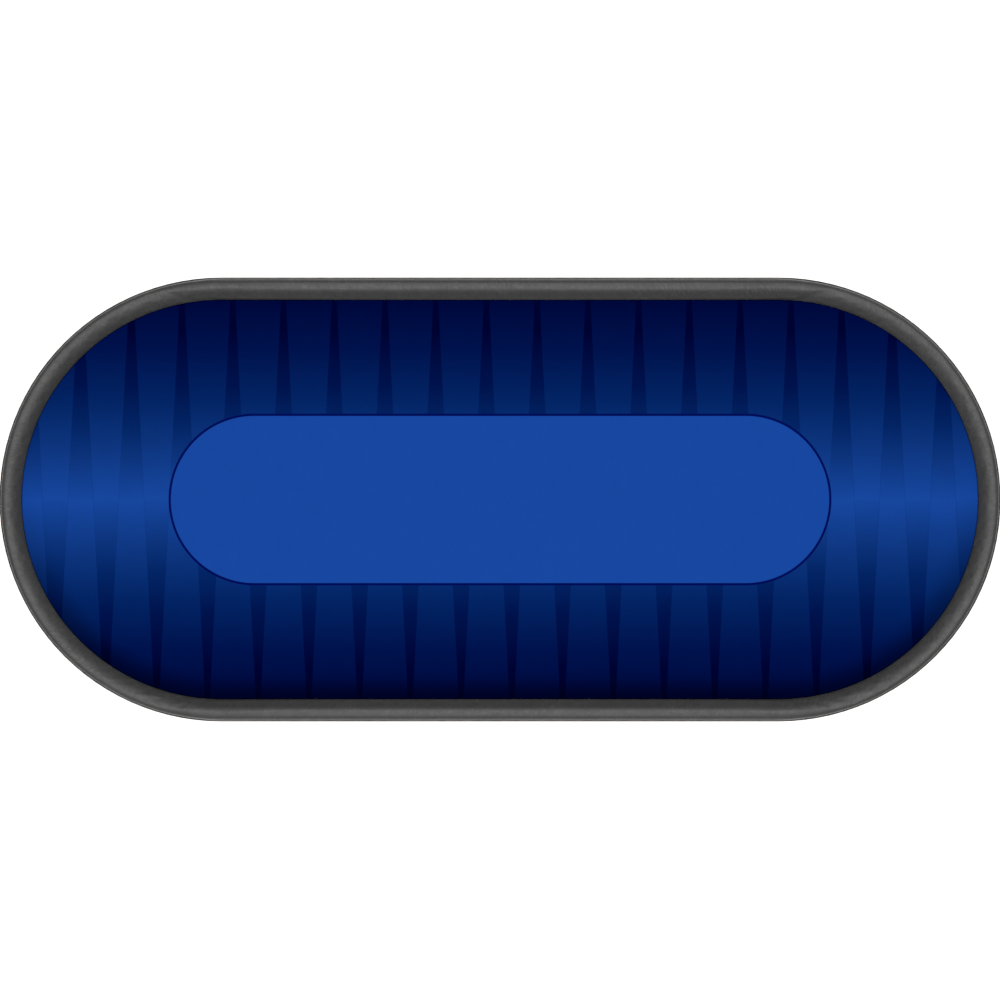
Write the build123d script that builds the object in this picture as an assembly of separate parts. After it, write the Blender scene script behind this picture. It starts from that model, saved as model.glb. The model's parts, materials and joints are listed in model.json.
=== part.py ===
from build123d import *
import math
import os

# Oval racetrack card table with a padded rail and two folding leg frames.
# Millimetres. +X along the table's length, +Y across it, +Z up.
# The origin is on the floor, under the middle of the table.

os.makedirs("parts", exist_ok=True)

# ---------------------------------------------------------------- driving dimensions
table_length = 2440.0
table_width = 1082.0
table_height = 762.0

# padded rail, measured inwards from the outline of the table, which is the deck's black edge band
rail_outer_inset = 3.0
rail_inner_inset = 54.5
rail_crown_inset = 18.0
rail_inner_radius = 28.0
rail_inner_slope = 44.0
rail_nose_radius = 5.0
vinyl = 1.2
hem_width = 17.0
rail_board_setback = 5.0
rail_board_thickness = 18.0

# table top
deck_thickness = 18.0
deck_top = 718.0
edge_band_thickness = 4.0
playfield_gap = 0.3
playfield_cloth_thickness = 1.0
playfield_board_thickness = 12.0
playfield_foam_thickness = 5.0
playfield_hem_width = 30.0

# bolts that hold the rail down
rail_bolt_inset = 28.0
rail_bolt_spacing = 272.0
rail_bolt_end_angle = 60.0
rail_bolt_diameter = 6.0
rail_bolt_hole = 6.6
rail_bolt_head_diameter = 12.0
rail_bolt_head_height = 4.0
rail_bolt_head_round = 1.6
hex_socket_radius = 2.5
hex_socket_depth = 2.4
rail_bolt_tip = 730.0
rail_washer_diameter = 18.0
rail_washer_thickness = 1.6
insert_nut_diameter = 10.0
insert_nut_length = 13.0

# apron under the deck
apron_length = 1800.0
apron_width = 690.0
apron_board = 19.0
apron_depth = 60.0
apron_edge_chamfer = 1.5
corner_block = 40.0
corner_block_height = 55.0
corner_block_chamfer = 18.0
bracket_flange = 20.0
bracket_width = 30.0
bracket_steel = 2.5
bracket_screw_setback = 12.0
long_bracket_spacing = 450.0
end_bracket_spacing = 240.0

# leg frames: a bent tube that turns about its own top bar
leg_frame_x = 800.0
leg_y = 290.0
hinge_height = 680.0
tube_diameter = 28.6
tube_wall = 1.5
tube_bend_radius = 60.0
crossbar_drop = 500.0
crossbar_diameter = 19.0
crossbar_wall = 1.2
foot_diameter = 34.0
foot_height = 40.0
foot_floor = 8.0
foot_round = 2.5
tube_end_gap = 0.2

# hinge pads and saddles
saddle_y = 180.0
saddle_width = 30.0
saddle_steel = 3.0
saddle_reach = 40.0
hinge_clearance = 0.08
pad_drop = 12.0

# spring clips under the deck that take the crossbar of a folded leg frame
clip_y = 150.0
clip_width = 25.0
clip_steel = 1.5
clip_clearance = 0.6
clip_arm_drop = 6.0
clip_lip = 5.0

# folding braces, one beside each leg
brace_deck_run = 400.0
brace_leg_drop = 280.0
strap_width = 20.0
strap_steel = 3.0
upper_strap_y = 257.8
lower_strap_y = 263.2
lower_strap_tail = 24.0
rivet_diameter = 6.0
rivet_head_diameter = 11.0
rivet_head_height = 1.8
rivet_head_round = 1.2
leg_rivet_head_height = 1.3
rivet_clearance = 0.06
brace_gap = 0.3
leg_boss_diameter = 18.0
brace_bracket_length = 50.0
brace_bracket_depth = 34.0
brace_bracket_steel = 3.0
brace_bracket_screw_spacing = 28.0
brace_bracket_screw_setback = 20.0

# lock rings that slide along the upper links
ring_thickness = 5.0
ring_wall = 4.0
ring_half_window = 14.0
ring_side_gap = 1.0
ring_window_round = 2.0
ring_outer_round = 6.0
ring_from_knee = 18.5

# screws up through the deck into the playfield
playfield_screw_length = 25.0
playfield_screw_rows = 240.0
playfield_screw_spacing = 600.0
playfield_end_screw = 1050.0

# wood screws
screw_diameter = 4.0
screw_length = 14.0
screw_head_diameter = 8.0
screw_head_height = 2.4
screw_head_round = 1.4
pilot_overcut = 0.5

# cutting shapes run past the faces that they cut by this much
overcut = 1.0

# ---------------------------------------------------------------- worked-out dimensions
straight_length = table_length - table_width
deck_bottom = deck_top - deck_thickness
rail_outer_radius = rail_crown_inset - rail_outer_inset
shoulder_height = table_height - rail_outer_radius
rail_board_bottom = deck_top + vinyl
rail_board_top = rail_board_bottom + rail_board_thickness
rail_board_outer = rail_outer_inset + rail_board_setback
rail_board_inner = rail_inner_inset - rail_board_setback
cloth_inset = rail_inner_inset + playfield_gap
playfield_inset = cloth_inset + playfield_cloth_thickness
playfield_board_bottom = deck_top + playfield_cloth_thickness
playfield_foam_bottom = playfield_board_bottom + playfield_board_thickness
playfield_cloth_bottom = playfield_foam_bottom + playfield_foam_thickness

tube_radius = tube_diameter / 2
tube_end = foot_floor + tube_end_gap
crossbar_height = hinge_height - crossbar_drop
folded_crossbar_x = crossbar_drop - leg_frame_x

# The brace is straight when the legs stand. When they are folded flat, both links lie under the
# deck, the lower one back along the upper one, so the links differ by the distance between pivots.
brace_span = math.hypot(brace_deck_run, brace_leg_drop)
folded_pivot_distance = brace_deck_run - brace_leg_drop
upper_link = (brace_span + folded_pivot_distance) / 2
lower_link = (brace_span - folded_pivot_distance) / 2
lower_strap_face = lower_strap_y + strap_steel
leg_boss_y = lower_strap_face + brace_gap
bracket_lug_y = upper_strap_y - brace_gap

# In this plane x runs down the brace from its deck pivot and z runs out along +Y.
brace_plane = Plane(
    origin=(brace_deck_run - leg_frame_x, 0, hinge_height),
    x_dir=(-brace_deck_run, 0, -brace_leg_drop),
    z_dir=(0, 1, 0),
)


# ---------------------------------------------------------------- helpers
def oval(inset, bottom, height):
    """The outline of the table, moved inwards and extruded."""
    outline = SlotOverall(table_length - 2 * inset, table_width - 2 * inset)
    return Pos(0, 0, bottom) * extrude(outline, height)


def oval_ring(outer_inset, inner_inset, bottom, height):
    return oval(outer_inset, bottom, height) - oval(inner_inset, bottom, height)


def oval_sweep(profile):
    """Carry a section, drawn as inset and height, once round the table."""
    start = Plane(origin=(-straight_length / 2, -table_width / 2, 0), x_dir=(0, 1, 0), z_dir=(1, 0, 0))
    end = Plane(origin=(straight_length / 2, -table_width / 2, 0), x_dir=(0, 1, 0), z_dir=(1, 0, 0))
    end_axis = Axis((straight_length / 2, 0, 0), (0, 0, 1))
    half = extrude(start * profile, straight_length) + revolve(end * profile, end_axis, 180)
    return half + Rot(0, 0, 180) * half


def rectangle(left, right, bottom, top):
    return Pos((left + right) / 2, (bottom + top) / 2) * Rectangle(right - left, top - bottom)


def rail_section(shrink, bottom):
    """The rail's section, moved in from its surface by shrink, with a level underside.

    It rounds over from the outer wall to the crown, then slopes down to a small nose at the cloth.
    """
    slope = math.radians(rail_inner_slope)
    slope_start_x = rail_crown_inset + rail_inner_radius * math.sin(slope)
    slope_start_z = table_height - rail_inner_radius * (1 - math.cos(slope))
    slope_end_x = rail_inner_inset - rail_nose_radius * (1 - math.sin(slope))
    slope_end_z = slope_start_z - (slope_end_x - slope_start_x) * math.tan(slope)
    nose_height = slope_end_z - rail_nose_radius * math.cos(slope)
    nose_centre = (rail_inner_inset - rail_nose_radius, nose_height)
    inner_centre = (rail_crown_inset, table_height - rail_inner_radius)
    left = rail_outer_inset + shrink
    right = rail_inner_inset - shrink
    outer = CenterArc((rail_crown_inset, shoulder_height), rail_outer_radius - shrink, 90, 90)
    inner = CenterArc(inner_centre, rail_inner_radius - shrink, 90 - rail_inner_slope, rail_inner_slope)
    nose = CenterArc(nose_centre, rail_nose_radius - shrink, 0, 90 - rail_inner_slope)
    edges = [
        Line((left, bottom), (left, shoulder_height)),
        outer,
        inner,
        Line(inner @ 0, nose @ 1),
        nose,
        Line((right, nose_height), (right, bottom)),
        Line((right, bottom), (left, bottom)),
    ]
    return make_face(edges)


def tube(diameter, wall, length):
    """A straight tube along +Z from the origin."""
    section = Circle(diameter / 2) - Circle(diameter / 2 - wall)
    return extrude(section, length)


def rod(diameter, start, end):
    """A solid rod along Z between two heights."""
    return Pos(0, 0, start) * extrude(Circle(diameter / 2), end - start)


def front_and_back(shape):
    """One piece beside the +Y leg and its mirror image beside the -Y leg."""
    return [shape, mirror(shape, about=Plane.XZ)]


def left_and_right(shapes):
    """Pieces at the -X end and their mirror images at the +X end."""
    return shapes + [mirror(shape, about=Plane.YZ) for shape in shapes]


# ---------------------------------------------------------------- screws
def wood_screw(length=screw_length):
    """A pan-head screw that points up +Z, with the underside of its head at the origin."""
    head = Pos(0, 0, -screw_head_height) * extrude(Circle(screw_head_diameter / 2), screw_head_height)
    head = fillet(head.edges().group_by(Axis.Z)[0], screw_head_round)
    return head + rod(screw_diameter, 0, length)


def upright(points):
    return [Pos(*point) for point in points]


def rail_bolt_places():
    side_y = table_width / 2 - rail_bolt_inset
    places = []
    for y in (-side_y, side_y):
        for step in range(-2, 3):
            places.append((step * rail_bolt_spacing, y))
    for end in (-1, 1):
        for angle in (-rail_bolt_end_angle, 0, rail_bolt_end_angle):
            x = end * (straight_length / 2 + side_y * math.cos(math.radians(angle)))
            places.append((x, side_y * math.sin(math.radians(angle))))
    return places


def playfield_screw_places():
    places = [(end * playfield_end_screw, 0, deck_bottom) for end in (-1, 1)]
    for step in (-1, 0, 1):
        for side in (-0.5, 0.5):
            places.append((step * playfield_screw_spacing, side * playfield_screw_rows, deck_bottom))
    return places


def saddle_screw_places():
    """Four screws in each saddle of the left frame."""
    run = (tube_radius + hinge_clearance + saddle_steel + saddle_reach) / 2
    height = deck_bottom - saddle_steel
    return [
        (-leg_frame_x + side * run, end * saddle_y + row * saddle_width / 4, height)
        for side in (-1, 1)
        for end in (-1, 1)
        for row in (-1, 1)
    ]


def clip_screw_places():
    return [(folded_crossbar_x, side * clip_y, deck_bottom - clip_steel) for side in (-1, 1)]


def brace_bracket_screw_places():
    x = brace_deck_run - leg_frame_x
    y = bracket_lug_y - brace_bracket_screw_setback
    run = brace_bracket_screw_spacing / 2
    height = deck_bottom - brace_bracket_steel
    return [(x + step * run, side * y, height) for side in (-1, 1) for step in (-1, 1)]


def apron_bracket_places():
    """Where each angle bracket stands, and the turn that makes its back face the apron."""
    inner_y = apron_width / 2 - apron_board
    inner_x = apron_length / 2 - apron_board
    places = []
    for step in (-1, 0, 1):
        places.append(Pos(step * long_bracket_spacing, inner_y, deck_bottom))
        places.append(Pos(step * long_bracket_spacing, -inner_y, deck_bottom) * Rot(0, 0, 180))
    for step in (-0.5, 0.5):
        places.append(Pos(inner_x, step * end_bracket_spacing, deck_bottom) * Rot(0, 0, -90))
        places.append(Pos(-inner_x, step * end_bracket_spacing, deck_bottom) * Rot(0, 0, 90))
    return places


def apron_screw_places():
    """Each bracket has one screw up into the deck and one level screw into the apron."""
    up = Pos(0, -bracket_screw_setback, -bracket_steel)
    level = Pos(0, -bracket_steel, -bracket_screw_setback) * Rot(-90, 0, 0)
    return [place * screw for place in apron_bracket_places() for screw in (up, level)]


def pilot_holes(places, length=screw_length):
    return [place * rod(screw_diameter, -pilot_overcut, length) for place in places]


# ---------------------------------------------------------------- table top
def deck_board():
    board = oval(edge_band_thickness, deck_bottom, deck_thickness)
    bolt_hole = rod(rail_bolt_hole, deck_bottom - overcut, deck_top + overcut)
    board -= [Pos(x, y, 0) * bolt_hole for x, y in rail_bolt_places()]
    board -= pilot_holes(upright(playfield_screw_places()), playfield_screw_length)
    screws = upright(saddle_screw_places() + clip_screw_places() + brace_bracket_screw_places())
    board -= left_and_right(pilot_holes(screws))
    return board - pilot_holes(apron_screw_places())


def deck_edge_band():
    return oval_ring(0, edge_band_thickness, deck_bottom, deck_thickness)


def playfield_board():
    board = oval(playfield_inset, playfield_board_bottom, playfield_board_thickness)
    return board - pilot_holes(upright(playfield_screw_places()), playfield_screw_length)


def playfield_screws():
    return [place * wood_screw(playfield_screw_length) for place in upright(playfield_screw_places())]


def playfield_foam():
    return oval(playfield_inset, playfield_foam_bottom, playfield_foam_thickness)


def playfield_cloth():
    """One sheet over the foam, down the sides and under the edge of the board."""
    hem_inset = playfield_inset + playfield_hem_width
    top = oval(cloth_inset, playfield_cloth_bottom, playfield_cloth_thickness)
    side = oval_ring(cloth_inset, playfield_inset, deck_top, playfield_cloth_bottom - deck_top)
    hem = oval_ring(playfield_inset, hem_inset, deck_top, playfield_cloth_thickness)
    return top + side + hem


# ---------------------------------------------------------------- rail
def rail_board():
    board = oval_ring(rail_board_outer, rail_board_inner, rail_board_bottom, rail_board_thickness)
    nut_top = rail_board_bottom + insert_nut_length
    socket = rod(insert_nut_diameter, rail_board_bottom - overcut, nut_top)
    return board - [Pos(x, y, 0) * socket for x, y in rail_bolt_places()]


def rail_foam():
    board = rectangle(rail_board_outer, rail_board_inner, rail_board_bottom, rail_board_top)
    return oval_sweep(rail_section(vinyl, rail_board_bottom) - board)


def rail_cover():
    """The vinyl skin, turned in under the rail board with a gap between its hems for the bolts."""
    hem_gap = rectangle(
        rail_outer_inset + hem_width, rail_inner_inset - hem_width, deck_top, rail_board_bottom
    )
    skin = rail_section(0, deck_top) - rail_section(vinyl, rail_board_bottom) - hem_gap
    return oval_sweep(skin)


def rail_bolts():
    head_top = deck_bottom - rail_washer_thickness
    head_bottom = head_top - rail_bolt_head_height
    head = rod(rail_bolt_head_diameter, head_bottom, head_top)
    head = fillet(head.edges().group_by(Axis.Z)[0], rail_bolt_head_round)
    socket = Pos(0, 0, head_bottom) * extrude(RegularPolygon(hex_socket_radius, 6), hex_socket_depth)
    bolt = head - socket + rod(rail_bolt_diameter, head_top, rail_bolt_tip)
    return [Pos(x, y, 0) * bolt for x, y in rail_bolt_places()]


def rail_bolt_washers():
    washer = rod(rail_washer_diameter, deck_bottom - rail_washer_thickness, deck_bottom)
    washer -= rod(rail_bolt_diameter, deck_bottom - rail_washer_thickness, deck_bottom)
    return [Pos(x, y, 0) * washer for x, y in rail_bolt_places()]


def rail_insert_nuts():
    nut_top = rail_board_bottom + insert_nut_length
    nut = rod(insert_nut_diameter, rail_board_bottom, nut_top)
    nut -= rod(rail_bolt_diameter, rail_board_bottom, nut_top)
    return [Pos(x, y, 0) * nut for x, y in rail_bolt_places()]


# ---------------------------------------------------------------- apron
def apron_board_blank(along, across, grain):
    """A board with its two long lower edges eased."""
    board = Box(along, across, apron_depth)
    lower_edges = board.edges().filter_by(grain).group_by(Axis.Z)[0]
    return chamfer(lower_edges, apron_edge_chamfer)


def apron_boards():
    """Long boards at the front and rear, and end boards between them."""
    middle = deck_bottom - apron_depth / 2
    holes = pilot_holes(apron_screw_places())
    long_board = apron_board_blank(apron_length, apron_board, Axis.X)
    end_board = apron_board_blank(apron_board, apron_width - 2 * apron_board, Axis.Y)
    y = (apron_width - apron_board) / 2
    x = (apron_length - apron_board) / 2
    return {
        "apron_front": Pos(0, -y, middle) * long_board - holes,
        "apron_rear": Pos(0, y, middle) * long_board - holes,
        "apron_left": Pos(-x, 0, middle) * end_board - holes,
        "apron_right": Pos(x, 0, middle) * end_board - holes,
    }


def apron_corner_blocks():
    x = apron_length / 2 - apron_board - corner_block / 2
    y = apron_width / 2 - apron_board - corner_block / 2
    block = Box(corner_block, corner_block, corner_block_height)
    inner_edge = block.edges().filter_by(Axis.Z).sort_by(lambda edge: edge.center().X + edge.center().Y)[0]
    block = chamfer(inner_edge, corner_block_chamfer)
    placed = Pos(x, y, deck_bottom - corner_block_height / 2) * block
    return left_and_right(front_and_back(placed))


def apron_brackets():
    """Bent steel angles. Each has its back at y = 0 and its top at z = 0 before it is placed."""
    side = rectangle(-bracket_flange, 0, -bracket_flange, 0)
    side -= rectangle(-bracket_flange, -bracket_steel, -bracket_flange, -bracket_steel)
    profile_plane = Plane(origin=(-bracket_width / 2, 0, 0), x_dir=(0, 1, 0), z_dir=(1, 0, 0))
    angle = extrude(profile_plane * side, bracket_width)
    hole = rod(screw_diameter, -bracket_steel - overcut, overcut)
    angle -= Pos(0, -bracket_screw_setback, 0) * hole
    angle -= Pos(0, 0, -bracket_screw_setback) * Rot(-90, 0, 0) * hole
    return [place * angle for place in apron_bracket_places()]


def apron_bracket_screws():
    return [place * wood_screw() for place in apron_screw_places()]


# ---------------------------------------------------------------- left leg frame
def leg_tube():
    """One tube: up a leg, along the hinge bar and down the other leg."""
    feet_and_bar = [(-leg_y, tube_end), (-leg_y, hinge_height), (leg_y, hinge_height), (leg_y, tube_end)]
    corners = [(-leg_frame_x, y, height) for y, height in feet_and_bar]
    path = FilletPolyline(*corners, radius=tube_bend_radius)
    start = Plane(origin=corners[0], z_dir=(0, 0, 1))
    section = Circle(tube_radius) - Circle(tube_radius - tube_wall)
    return [sweep(start * section, path)]


def leg_crossbar():
    """A lighter tube between the legs, with its ends cut to fit round them."""
    bar = Rot(-90, 0, 0) * Pos(0, 0, -leg_y) * tube(crossbar_diameter, crossbar_wall, 2 * leg_y)
    bar = Pos(-leg_frame_x, 0, crossbar_height) * bar
    for y in (-leg_y, leg_y):
        bar -= Pos(-leg_frame_x, y, 0) * rod(tube_diameter, 0, hinge_height)
    middle = bar.solids().sort_by(lambda solid: solid.volume)[-1]
    return [middle]


def leg_feet():
    """Rubber cups pushed over the ends of the tube."""
    cup = rod(foot_diameter, 0, foot_height)
    cup = fillet(cup.edges(), foot_round)
    cup -= rod(tube_diameter, tube_end, foot_height + overcut)
    return front_and_back(Pos(-leg_frame_x, leg_y, 0) * cup)


def brace_leg_bosses():
    """Spacers welded to the inner side of each leg, where the brace is riveted on."""
    boss = Rot(-90, 0, 0) * rod(leg_boss_diameter, leg_boss_y, leg_y)
    boss = Pos(-leg_frame_x, 0, hinge_height - brace_leg_drop) * boss
    boss -= Pos(-leg_frame_x, leg_y, 0) * rod(tube_diameter, 0, hinge_height)
    return front_and_back(boss)


def hinge_pads():
    """Nylon blocks between the hinge bar and the deck, hollowed to the bar."""
    pad_width = 2 * tube_radius
    pad = Pos(0, 0, deck_bottom - hinge_height - pad_drop / 2) * Box(pad_width, saddle_width, pad_drop)
    pad -= Rot(90, 0, 0) * rod(tube_diameter + 2 * hinge_clearance, -saddle_width, saddle_width)
    return front_and_back(Pos(-leg_frame_x, saddle_y, hinge_height) * pad)


def hinge_saddles():
    """Steel straps bent round the underside of the hinge bar, with a flange on each side."""
    inner = tube_radius + hinge_clearance
    outer = inner + saddle_steel
    deck = deck_bottom - hinge_height
    section = Circle(outer) + rectangle(-outer, outer, 0, deck)
    section -= Circle(inner) + rectangle(-inner, inner, 0, deck)
    section += rectangle(-saddle_reach, -outer, deck - saddle_steel, deck)
    section += rectangle(outer, saddle_reach, deck - saddle_steel, deck)
    near_end = (-leg_frame_x, saddle_y + saddle_width / 2, hinge_height)
    plane = Plane(origin=near_end, x_dir=(1, 0, 0), z_dir=(0, -1, 0))
    holes = pilot_holes(upright(saddle_screw_places()))
    return front_and_back(extrude(plane * section, saddle_width) - holes)


def hinge_screws():
    return [place * wood_screw() for place in upright(saddle_screw_places())]


def leg_clips():
    """Spring steel channels, open downwards, with lips that guide the crossbar in."""
    inner = crossbar_diameter / 2 + clip_clearance
    outer = inner + clip_steel
    deck = deck_bottom - hinge_height
    section = rectangle(-outer, outer, deck - clip_steel, deck)
    for side in (-1, 1):
        left, right = sorted((side * inner, side * outer))
        section += rectangle(left, right, -clip_arm_drop, deck)
        lip_bottom = -clip_arm_drop - clip_lip
        out = side * clip_lip
        corners = [(left, -clip_arm_drop), (left + out, lip_bottom)]
        corners += [(right + out, lip_bottom), (right, -clip_arm_drop)]
        section += Polygon(*corners, align=None)
    near_end = (folded_crossbar_x, clip_y + clip_width / 2, hinge_height)
    plane = Plane(origin=near_end, x_dir=(1, 0, 0), z_dir=(0, -1, 0))
    holes = pilot_holes(upright(clip_screw_places()))
    return front_and_back(extrude(plane * section, clip_width) - holes)


def leg_clip_screws():
    return [place * wood_screw() for place in upright(clip_screw_places())]


# ---------------------------------------------------------------- left braces
def rivet_head(face, outwards, height=rivet_head_height):
    """A domed head with its flat side at face. Its dome points up for +1 and down for -1."""
    head = extrude(Circle(rivet_head_diameter / 2), height)
    head = fillet(head.edges().group_by(Axis.Z)[-1], rivet_head_round)
    if outwards < 0:
        head = Rot(180, 0, 0) * head
    return Pos(0, 0, face) * head


def brace_brackets():
    """An angle screwed to the deck. Its lug carries the upper end of the brace."""
    x = brace_deck_run - leg_frame_x
    drop = deck_bottom - hinge_height
    lug_y = bracket_lug_y - brace_bracket_steel
    lug = rectangle(-brace_bracket_length / 2, brace_bracket_length / 2, drop - brace_bracket_steel, drop)
    lug += make_hull([*Circle(strap_width / 2).edges(), *lug.edges()])
    plane = Plane(origin=(x, bracket_lug_y, hinge_height), x_dir=(1, 0, 0), z_dir=(0, -1, 0))
    upright_plate = extrude(plane * lug, brace_bracket_steel)
    rivet_hole = rod(rivet_diameter, lug_y - overcut, bracket_lug_y + overcut)
    upright_plate -= Pos(x, 0, hinge_height) * Rot(-90, 0, 0) * rivet_hole
    flange_y = bracket_lug_y - brace_bracket_depth / 2
    flange = Box(brace_bracket_length, brace_bracket_depth, brace_bracket_steel)
    flange = Pos(x, flange_y, deck_bottom - brace_bracket_steel / 2) * flange
    holes = pilot_holes(upright(brace_bracket_screw_places()))
    return front_and_back(upright_plate + flange - holes)


def brace_bracket_screws():
    return [place * wood_screw() for place in upright(brace_bracket_screw_places())]


def brace_deck_rivets():
    """Each joins a bracket's lug to an upper link, which turns on it."""
    inner = bracket_lug_y - brace_bracket_steel
    outer = upper_strap_y + strap_steel + brace_gap
    rivet = rod(rivet_diameter, inner, outer)
    rivet += rivet_head(inner, -1)
    rivet += rivet_head(outer, 1)
    return front_and_back(brace_plane * rivet)


def strap(start, end, face):
    """A flat link with round ends, between two places along the brace."""
    shape = SlotCenterToCenter(end - start, strap_width)
    return Pos((start + end) / 2, 0, face) * extrude(shape, strap_steel)


def brace_upper_links():
    link = strap(0, upper_link, upper_strap_y)
    link -= rod(rivet_diameter + 2 * rivet_clearance, upper_strap_y - overcut, lower_strap_y)
    link -= Pos(upper_link, 0, 0) * rod(rivet_diameter, upper_strap_y - overcut, lower_strap_y)
    return front_and_back(brace_plane * link)


def knee_rivets():
    """Each is fixed in an upper link, with a collar that spaces the lower link off it."""
    inner = upper_strap_y
    outer = lower_strap_face + brace_gap
    rivet = rod(rivet_diameter, inner, outer)
    rivet += rivet_head(inner, -1)
    rivet += rod(rivet_head_diameter, inner + strap_steel, lower_strap_y - brace_gap)
    rivet += rivet_head(outer, 1)
    return front_and_back(brace_plane * Pos(upper_link, 0, 0) * rivet)


def brace_lower_links():
    """The tail past the knee lies beside the upper link, where the lock ring holds both."""
    tail_centre = upper_link - lower_strap_tail + strap_width / 2
    link = strap(tail_centre, brace_span, lower_strap_y)
    bottom = lower_strap_y - overcut
    top = lower_strap_face + overcut
    link -= Pos(upper_link, 0, 0) * rod(rivet_diameter + 2 * rivet_clearance, bottom, top)
    link -= Pos(brace_span, 0, 0) * rod(rivet_diameter, bottom, top)
    return front_and_back(brace_plane * link)


def brace_lower_rivets():
    """The rivet at the leg, with its head on the side away from the leg."""
    rivet = rod(rivet_diameter, lower_strap_y, lower_strap_face)
    rivet += rivet_head(lower_strap_y, -1, leg_rivet_head_height)
    return front_and_back(brace_plane * Pos(brace_span, 0, 0) * rivet)


def lock_rings():
    """Flat steel loops round the upper link and the lower link's tail."""
    low = upper_strap_y - ring_side_gap
    high = lower_strap_face + ring_side_gap
    middle = (low + high) / 2
    window = RectangleRounded(2 * ring_half_window, high - low, ring_window_round)
    outer_width = 2 * (ring_half_window + ring_wall)
    section = RectangleRounded(outer_width, high - low + 2 * ring_wall, ring_outer_round) - window
    across = Plane(origin=(upper_link - ring_from_knee, 0, middle), x_dir=(0, 1, 0), z_dir=(1, 0, 0))
    ring = Pos(-ring_thickness / 2, 0, 0) * extrude(across * section, ring_thickness)
    return front_and_back(brace_plane * ring)


# ---------------------------------------------------------------- the whole table
def table_nodes():
    nodes = {
        "deck_board": deck_board(),
        "deck_edge_band": deck_edge_band(),
        "playfield_board": playfield_board(),
        "playfield_foam": playfield_foam(),
        "playfield_cloth": playfield_cloth(),
        "playfield_screws": playfield_screws(),
        "rail_board": rail_board(),
        "rail_foam": rail_foam(),
        "rail_cover": rail_cover(),
        "rail_bolts": rail_bolts(),
        "rail_bolt_washers": rail_bolt_washers(),
        "rail_insert_nuts": rail_insert_nuts(),
        "apron_corner_blocks": apron_corner_blocks(),
        "apron_brackets": apron_brackets(),
        "apron_bracket_screws": apron_bracket_screws(),
    }
    nodes.update(apron_boards())
    return nodes


def leg_frame_nodes():
    """The frame at the left, -X end."""
    return {
        "leg_tube": leg_tube(),
        "leg_crossbar": leg_crossbar(),
        "leg_feet": leg_feet(),
        "brace_leg_bosses": brace_leg_bosses(),
        "hinge_pads": hinge_pads(),
        "hinge_saddles": hinge_saddles(),
        "hinge_screws": hinge_screws(),
        "leg_clips": leg_clips(),
        "leg_clip_screws": leg_clip_screws(),
        "brace_brackets": brace_brackets(),
        "brace_bracket_screws": brace_bracket_screws(),
        "brace_deck_rivets": brace_deck_rivets(),
        "brace_upper_links": brace_upper_links(),
        "knee_rivets": knee_rivets(),
        "brace_lower_links": brace_lower_links(),
        "brace_lower_rivets": brace_lower_rivets(),
        "lock_rings": lock_rings(),
    }


def write_node(name, shapes):
    if isinstance(shapes, list):
        solids = [solid for shape in shapes for solid in shape.solids()]
        shapes = Compound(children=solids)
    export_step(shapes, f"parts/{name}.step")


for name, shapes in table_nodes().items():
    write_node(name, shapes)

for name, shapes in leg_frame_nodes().items():
    write_node(f"left_{name}", shapes)
    write_node(f"right_{name}", [mirror(shape, about=Plane.YZ) for shape in shapes])
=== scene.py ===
"""The looks of the oval card table: padded vinyl rail, printed cloth, plywood, steel legs. Metres."""

import json
import math

import bpy
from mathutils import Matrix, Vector, noise


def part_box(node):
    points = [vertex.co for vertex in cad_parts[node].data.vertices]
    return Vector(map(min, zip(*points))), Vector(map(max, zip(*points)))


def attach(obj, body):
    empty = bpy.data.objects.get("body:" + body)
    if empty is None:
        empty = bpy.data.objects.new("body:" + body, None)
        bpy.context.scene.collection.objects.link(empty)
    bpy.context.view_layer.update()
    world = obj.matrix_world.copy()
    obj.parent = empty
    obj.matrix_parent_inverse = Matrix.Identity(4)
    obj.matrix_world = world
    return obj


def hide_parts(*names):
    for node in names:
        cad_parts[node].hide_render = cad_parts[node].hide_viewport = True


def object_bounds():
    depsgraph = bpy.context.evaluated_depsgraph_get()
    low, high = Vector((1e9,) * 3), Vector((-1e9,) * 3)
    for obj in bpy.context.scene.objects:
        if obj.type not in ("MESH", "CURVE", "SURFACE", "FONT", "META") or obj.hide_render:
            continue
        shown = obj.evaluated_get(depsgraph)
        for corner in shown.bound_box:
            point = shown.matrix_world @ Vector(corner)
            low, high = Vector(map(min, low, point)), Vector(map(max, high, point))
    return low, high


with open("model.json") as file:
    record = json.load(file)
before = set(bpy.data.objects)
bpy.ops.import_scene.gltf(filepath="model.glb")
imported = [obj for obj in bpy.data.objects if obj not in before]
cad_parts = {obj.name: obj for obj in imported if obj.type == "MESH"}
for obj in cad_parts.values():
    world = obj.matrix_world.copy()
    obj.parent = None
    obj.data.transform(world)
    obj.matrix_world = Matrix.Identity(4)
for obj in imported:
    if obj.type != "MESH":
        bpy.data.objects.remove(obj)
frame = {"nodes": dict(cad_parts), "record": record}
cad_low, cad_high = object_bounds()
scene = bpy.context.scene

# ---------------------------------------------------------------- measures, from the frame
rail_low, rail_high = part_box("rail_cover")
cloth_low, cloth_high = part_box("playfield_cloth")
foam_low, foam_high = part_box("playfield_foam")
_, band_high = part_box("deck_edge_band")

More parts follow.
